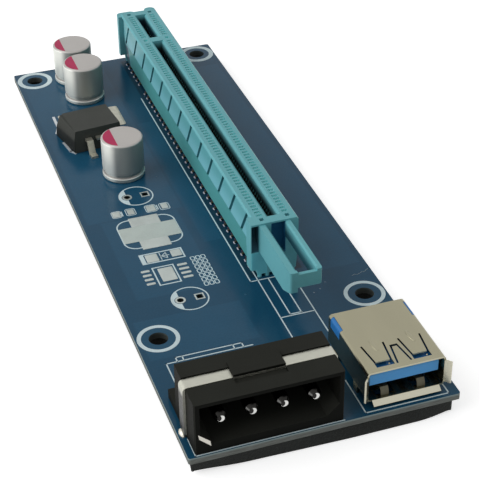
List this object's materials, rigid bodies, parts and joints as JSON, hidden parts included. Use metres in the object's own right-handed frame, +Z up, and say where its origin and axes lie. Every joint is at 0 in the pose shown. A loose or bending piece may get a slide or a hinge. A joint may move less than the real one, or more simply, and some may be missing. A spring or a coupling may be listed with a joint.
{
  "type": "expansion card riser board",
  "caption": "Long narrow circuit board that carries an expansion card slot, with a data socket and a power inlet at its front end, on a soft pad.",
  "frame": {"origin": "under the middle of the board, on the lower face of the foam pad", "axes": "+X along the board's short front edge, to the right seen from the front; +Y along the board, from the sockets' end to the far end; +Z up, out of the board's component side"},
  "size_m": [0.045, 0.1309, 0.0153],
  "materials": {
    "board": "solder mask, slightly glossy",
    "foam": "closed-cell foam",
    "slot_plastic": "moulded, satin",
    "contact_metal": "plated",
    "sheet_metal": "plated sheet",
    "blue_plastic": "moulded, satin",
    "black_plastic": "moulded, matte",
    "tinned_metal": "tinned",
    "can_aluminium": "drawn can"
  },
  "bodies": {
    "root": {"circuit_board": "board", "foam_pad": "foam", "slot_housing": "slot_plastic", "slot_contacts_left": "contact_metal", "slot_contacts_right": "contact_metal", "usb_shell": "sheet_metal", "usb_insulator": "blue_plastic", "usb_power_contacts": "contact_metal", "usb_signal_contacts": "contact_metal", "power_header_housing": "black_plastic", "power_header_strap": "tinned_metal", "power_pin_1": "tinned_metal", "power_pin_2": "tinned_metal", "power_pin_3": "tinned_metal", "power_pin_4": "tinned_metal", "capacitor_1": "can_aluminium", "capacitor_2": "can_aluminium", "capacitor_3": "can_aluminium", "capacitor_1_leads": "tinned_metal", "capacitor_2_leads": "tinned_metal", "capacitor_3_leads": "tinned_metal", "regulator_body": "black_plastic", "regulator_tab": "tinned_metal", "regulator_leads": "tinned_metal"}
  },
  "joints": []
}
